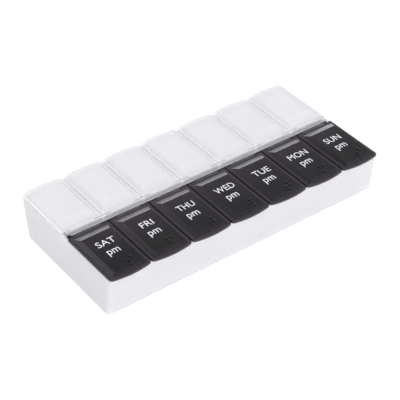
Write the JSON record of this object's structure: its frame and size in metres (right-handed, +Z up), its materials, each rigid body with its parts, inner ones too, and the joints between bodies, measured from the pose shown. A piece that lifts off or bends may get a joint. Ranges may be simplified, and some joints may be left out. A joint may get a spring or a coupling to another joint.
{
  "type": "weekly pill organizer",
  "caption": "Long shallow pill box with two rows of compartments, one for each day, under hinged snap lids with raised panels; dark evening row, frosted morning row.",
  "frame": {"origin": "centre of the bounding box's bottom face, on the surface the tray stands on", "axes": "+X along the rows from the Saturday to the Sunday compartments, +Y from the evening row to the morning row, +Z up"},
  "size_m": [0.176, 0.0872, 0.0285],
  "materials": {
    "tray_plastic": "translucent milky white, satin",
    "frosted_plastic": "frosted translucent white, fine texture",
    "black_plastic": "black, satin gloss"
  },
  "bodies": {
    "tray": {"tray": "tray_plastic", "pm_hinge_rail": "black_plastic", "am_hinge_rail": "frosted_plastic", "pm_hinge_web_sat": "black_plastic", "pm_hinge_web_fri": "black_plastic", "pm_hinge_web_thu": "black_plastic", "pm_hinge_web_wed": "black_plastic", "pm_hinge_web_tue": "black_plastic", "pm_hinge_web_mon": "black_plastic", "pm_hinge_web_sun": "black_plastic", "am_hinge_web_sat": "frosted_plastic", "am_hinge_web_fri": "frosted_plastic", "am_hinge_web_thu": "frosted_plastic", "am_hinge_web_wed": "frosted_plastic", "am_hinge_web_tue": "frosted_plastic", "am_hinge_web_mon": "frosted_plastic", "am_hinge_web_sun": "frosted_plastic"},
    "pm_lid_sat": {"pm_lid_sat": "black_plastic"},
    "pm_lid_fri": {"pm_lid_fri": "black_plastic"},
    "pm_lid_thu": {"pm_lid_thu": "black_plastic"},
    "pm_lid_wed": {"pm_lid_wed": "black_plastic"},
    "pm_lid_tue": {"pm_lid_tue": "black_plastic"},
    "pm_lid_mon": {"pm_lid_mon": "black_plastic"},
    "pm_lid_sun": {"pm_lid_sun": "black_plastic"},
    "am_lid_sat": {"am_lid_sat": "frosted_plastic"},
    "am_lid_fri": {"am_lid_fri": "frosted_plastic"},
    "am_lid_thu": {"am_lid_thu": "frosted_plastic"},
    "am_lid_wed": {"am_lid_wed": "frosted_plastic"},
    "am_lid_tue": {"am_lid_tue": "frosted_plastic"},
    "am_lid_mon": {"am_lid_mon": "frosted_plastic"},
    "am_lid_sun": {"am_lid_sun": "frosted_plastic"}
  },
  "joints": [
    {"name": "pm_sat_hinge", "type": "hinge", "parent": "tray", "child": "pm_lid_sat", "pos_m": [-0.075, -0.003, 0.0259], "axis": [1, 0, 0], "range_deg": [-160, 0], "deforming": ["pm_hinge_web_sat"]},
    {"name": "pm_fri_hinge", "type": "hinge", "parent": "tray", "child": "pm_lid_fri", "pos_m": [-0.05, -0.003, 0.0259], "axis": [1, 0, 0], "range_deg": [-160, 0], "deforming": ["pm_hinge_web_fri"]},
    {"name": "pm_thu_hinge", "type": "hinge", "parent": "tray", "child": "pm_lid_thu", "pos_m": [-0.025, -0.003, 0.0259], "axis": [1, 0, 0], "range_deg": [-160, 0], "deforming": ["pm_hinge_web_thu"]},
    {"name": "pm_wed_hinge", "type": "hinge", "parent": "tray", "child": "pm_lid_wed", "pos_m": [0, -0.003, 0.0259], "axis": [1, 0, 0], "range_deg": [-160, 0], "deforming": ["pm_hinge_web_wed"]},
    {"name": "pm_tue_hinge", "type": "hinge", "parent": "tray", "child": "pm_lid_tue", "pos_m": [0.025, -0.003, 0.0259], "axis": [1, 0, 0], "range_deg": [-160, 0], "deforming": ["pm_hinge_web_tue"]},
    {"name": "pm_mon_hinge", "type": "hinge", "parent": "tray", "child": "pm_lid_mon", "pos_m": [0.05, -0.003, 0.0259], "axis": [1, 0, 0], "range_deg": [-160, 0], "deforming": ["pm_hinge_web_mon"]},
    {"name": "pm_sun_hinge", "type": "hinge", "parent": "tray", "child": "pm_lid_sun", "pos_m": [0.075, -0.003, 0.0259], "axis": [1, 0, 0], "range_deg": [-160, 0], "deforming": ["pm_hinge_web_sun"]},
    {"name": "am_sat_hinge", "type": "hinge", "parent": "tray", "child": "am_lid_sat", "pos_m": [-0.075, 0.003, 0.0259], "axis": [1, 0, 0], "range_deg": [0, 160], "deforming": ["am_hinge_web_sat"]},
    {"name": "am_fri_hinge", "type": "hinge", "parent": "tray", "child": "am_lid_fri", "pos_m": [-0.05, 0.003, 0.0259], "axis": [1, 0, 0], "range_deg": [0, 160], "deforming": ["am_hinge_web_fri"]},
    {"name": "am_thu_hinge", "type": "hinge", "parent": "tray", "child": "am_lid_thu", "pos_m": [-0.025, 0.003, 0.0259], "axis": [1, 0, 0], "range_deg": [0, 160], "deforming": ["am_hinge_web_thu"]},
    {"name": "am_wed_hinge", "type": "hinge", "parent": "tray", "child": "am_lid_wed", "pos_m": [0, 0.003, 0.0259], "axis": [1, 0, 0], "range_deg": [0, 160], "deforming": ["am_hinge_web_wed"]},
    {"name": "am_tue_hinge", "type": "hinge", "parent": "tray", "child": "am_lid_tue", "pos_m": [0.025, 0.003, 0.0259], "axis": [1, 0, 0], "range_deg": [0, 160], "deforming": ["am_hinge_web_tue"]},
    {"name": "am_mon_hinge", "type": "hinge", "parent": "tray", "child": "am_lid_mon", "pos_m": [0.05, 0.003, 0.0259], "axis": [1, 0, 0], "range_deg": [0, 160], "deforming": ["am_hinge_web_mon"]},
    {"name": "am_sun_hinge", "type": "hinge", "parent": "tray", "child": "am_lid_sun", "pos_m": [0.075, 0.003, 0.0259], "axis": [1, 0, 0], "range_deg": [0, 160], "deforming": ["am_hinge_web_sun"]}
  ]
}
